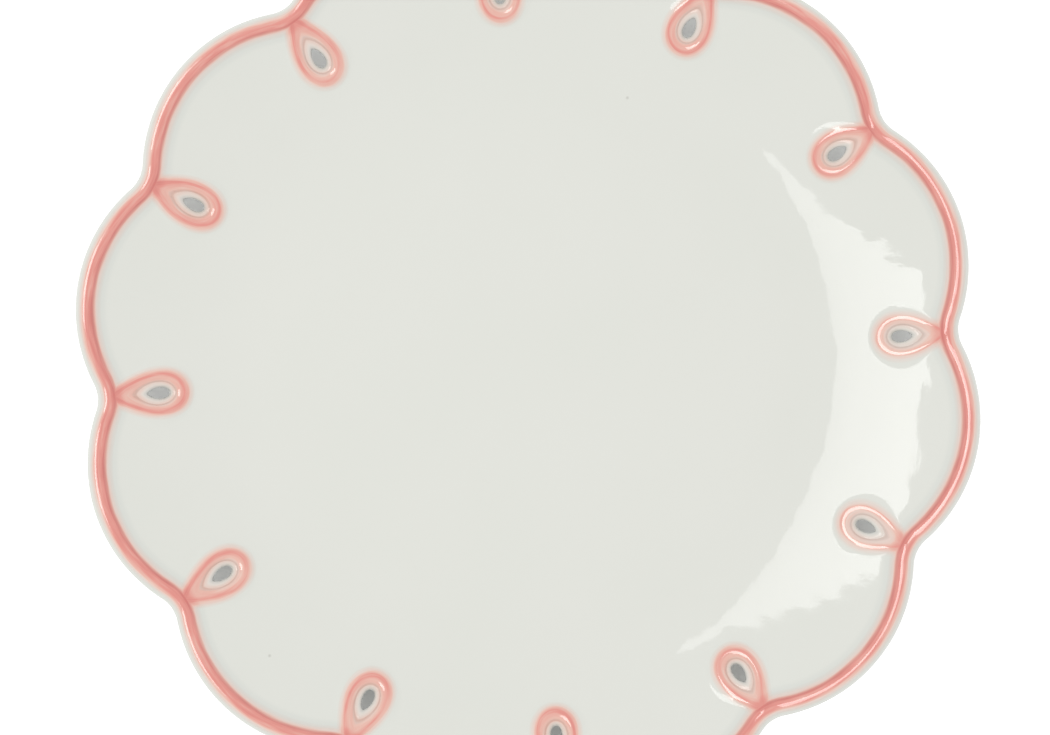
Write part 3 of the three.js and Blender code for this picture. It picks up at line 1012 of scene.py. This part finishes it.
def bare_clay(glaze_skin):
    """Glaze on the ring's sides, ending in a wavy line, and sanded clay on the flat that it stands on."""
    material, tree, shader = new_material("bare_clay")
    lay = place_group(tree, glaze_skin, {"Smooth": 0.07, "Soft": 0.12})
    place = add_node(tree, "ShaderNodeTexCoord")
    height = add_node(tree, "ShaderNodeSeparateXYZ")
    feed(tree, place.outputs["Object"], height.inputs[0])
    line = spread(tree, noise(tree, LINE_WAVES, 2), *NOISE_RANGE, *LINE_HEIGHT)
    above = maths(tree, "SUBTRACT", height.outputs["Z"], line)
    glazed = spread(tree, above, -LINE_SOFTNESS, LINE_SOFTNESS)
    grain = spread(tree, noise(tree, CLAY_GRAIN, 3), *NOISE_RANGE)
    clay = blend(tree, grain, *CLAY_COLOURS)
    beside_line = spread(tree, maths(tree, "ABSOLUTE", above), 0.0, TOAST_WIDTH, TOAST_STRENGTH, 0.0)
    toasted = blend(tree, beside_line, clay, TOAST_COLOUR)
    feed(tree, blend(tree, glazed, toasted, GLAZE_WHITE), shader.inputs["Base Color"])
    matt = spread(tree, grain, 0.0, 1.0, *CLAY_ROUGHNESS)
    roughness = add_node(tree, "ShaderNodeMix")
    feed(tree, glazed, roughness.inputs[0])
    feed(tree, matt, roughness.inputs[2])
    feed(tree, lay.outputs["Roughness"], roughness.inputs[3])
    feed(tree, roughness.outputs[0], shader.inputs["Roughness"])
    sanded = maths(tree, "MULTIPLY", grain, maths(tree, "SUBTRACT", 1.0, glazed))
    ripple_normal(tree, maths(tree, "ADD", lay.outputs["Height"], sanded), shader)
    return material


# Studio
STUDIO_LEVEL = 0.85  # light from all round, as a share of white
SOFTBOX_HEIGHT = 1500.0
SOFTBOX_PLACE = (-569.0, 112.0)  # along the photograph's right and up, from the plate's centre
SOFTBOX_SIZE = (620.0, 735.0)
SOFTBOX_TURN = math.radians(5.8)  # clockwise in the photograph
SOFTBOX_NEAR_LEVEL = 2.0  # its face is brighter on the far side
SOFTBOX_FAR_LEVEL = 4.0
TABLE_SIZE = 3.0  # half its side, in metres
TABLE_SINK = 0.05 * MM  # below the foot ring, so that no two faces lie in one plane
TABLE_TONE = (0.8, 0.8, 0.8, 1)
TABLE_GLOW = 0.6  # round the plate
# Painted light: under the plate the table glows for the rays that show it, more towards the far side, so
# its shadow there is lifted
UNDER_GLOW = (0.0, 0.15)  # under the plate, towards its near side and towards its far side
UNDER_ALONG = (-95 * MM, -20 * MM)  # along Y, where the one becomes the other
PLATE_REACH = (98 * MM, 109 * MM)  # radii over which the table comes out from under the plate


def photo_axes():
    """The photograph's right and up, on the table."""
    right = Vector((math.cos(PLATE_TURN), -math.sin(PLATE_TURN), 0))
    up = Vector((math.sin(PLATE_TURN), math.cos(PLATE_TURN), 0))
    return right, up


def set_camera():
    camera = bpy.data.cameras.new("camera")
    camera.lens = LENS
    camera.sensor_width = SENSOR
    distance = LENS / SENSOR * FRAME_WIDTH / PIXELS_PER_MM
    right, up = photo_axes()
    aside = (FRAME_WIDTH / 2 - PLATE_CENTRE_PX[0]) / PIXELS_PER_MM
    above = (PLATE_CENTRE_PX[1] - FRAME_HEIGHT / 2) / PIXELS_PER_MM
    obj = bpy.data.objects.new("camera", camera)
    obj.location = (right * aside + up * above + Vector((0, 0, RIM_VIEW_HEIGHT + distance))) * MM
    obj.rotation_euler = (0, 0, -PLATE_TURN)
    bpy.context.scene.collection.objects.link(obj)
    bpy.context.scene.camera = obj


def shown_ray(tree):
    """One for the rays that show the background: camera, glossy and transmission rays."""
    path = add_node(tree, "ShaderNodeLightPath")
    glossy = maths(tree, "MAXIMUM", path.outputs["Is Camera Ray"], path.outputs["Is Glossy Ray"])
    return maths(tree, "MAXIMUM", glossy, path.outputs["Is Transmission Ray"])


def set_world():
    world = bpy.data.worlds.new("studio")
    world.use_nodes = True
    tree = world.node_tree
    background = tree.nodes["Background"]
    background.inputs["Color"].default_value = (1, 1, 1, 1)
    feed(tree, spread(tree, shown_ray(tree), 0, 1, STUDIO_LEVEL, 1.0), background.inputs["Strength"])
    bpy.context.scene.world = world


def set_softbox():
    light = bpy.data.lights.new("softbox", "AREA")
    light.shape = "RECTANGLE"
    light.size = SOFTBOX_SIZE[0] * MM
    light.size_y = SOFTBOX_SIZE[1] * MM
    light.energy = math.pi * light.size * light.size_y
    light.use_nodes = True
    tree = light.node_tree
    place = add_node(tree, "ShaderNodeNewGeometry")
    across = add_node(tree, "ShaderNodeSeparateXYZ")
    feed(tree, place.outputs["Parametric"], across.inputs[0])
    level = spread(tree, across.outputs["X"], 0, 1, SOFTBOX_FAR_LEVEL, SOFTBOX_NEAR_LEVEL)
    feed(tree, level, tree.nodes["Emission"].inputs["Strength"])
    right, up = photo_axes()
    obj = bpy.data.objects.new("softbox", light)
    obj.location = (right * SOFTBOX_PLACE[0] + up * SOFTBOX_PLACE[1] + Vector((0, 0, SOFTBOX_HEIGHT))) * MM
    obj.rotation_euler = (0, 0, -PLATE_TURN - SOFTBOX_TURN)
    obj.visible_camera = False
    bpy.context.scene.collection.objects.link(obj)


def set_floor():
    mesh = bpy.data.meshes.new("floor")
    corners = [(-1, -1), (1, -1), (1, 1), (-1, 1)]
    points = [(x * TABLE_SIZE, y * TABLE_SIZE, -TABLE_SINK) for x, y in corners]
    mesh.from_pydata(points, [], [(0, 1, 2, 3)])
    material = bpy.data.materials.new("pale_table")
    material.use_nodes = True
    tree = material.node_tree
    tree.nodes.remove(tree.nodes["Principled BSDF"])
    diffuse = add_node(tree, "ShaderNodeBsdfDiffuse")
    diffuse.inputs["Color"].default_value = TABLE_TONE
    glow = add_node(tree, "ShaderNodeEmission")
    place = add_node(tree, "ShaderNodeNewGeometry")
    distance = add_node(tree, "ShaderNodeVectorMath", operation="LENGTH")
    feed(tree, place.outputs["Position"], distance.inputs[0])
    sides = add_node(tree, "ShaderNodeSeparateXYZ")
    feed(tree, place.outputs["Position"], sides.inputs[0])
    # painted light that lifts the shadow under the plate, more towards its far side
    under = spread(tree, sides.outputs["Y"], *UNDER_ALONG, *UNDER_GLOW)
    level = spread(tree, distance.outputs["Value"], *PLATE_REACH, under, TABLE_GLOW)
    feed(tree, maths(tree, "MULTIPLY", shown_ray(tree), level), glow.inputs["Strength"])
    both = add_node(tree, "ShaderNodeAddShader")
    feed(tree, diffuse.outputs[0], both.inputs[0])
    feed(tree, glow.outputs[0], both.inputs[1])
    feed(tree, both.outputs[0], tree.nodes["Material Output"].inputs["Surface"])
    mesh.materials.append(material)
    floor = bpy.data.objects.new("floor", mesh)
    bpy.context.scene.collection.objects.link(floor)


def build_plate():
    glaze_skin = glaze_skin_group()
    slip_paint = slip_paint_group()
    glaze = white_glaze(glaze_skin, slip_paint)
    slip = pink_slip(glaze_skin, slip_paint)
    dish_skin().piece("plate_body", "white_glaze", glaze)
    foot_skin().piece("foot_ring", "bare_clay", bare_clay(glaze_skin))
    cord = cord_skin()
    for number in range(SCALLOPS):
        label = f"{number + 1:02d}"
        cord.piece(f"edge_cord_{label}", "pink_slip", slip, STEP * number)
        loop_skin(number).piece(f"loop_{label}", "pink_slip", slip)


bpy.context.scene.view_settings.view_transform = "Standard"
set_camera()
set_world()
set_softbox()
set_floor()
build_plate()
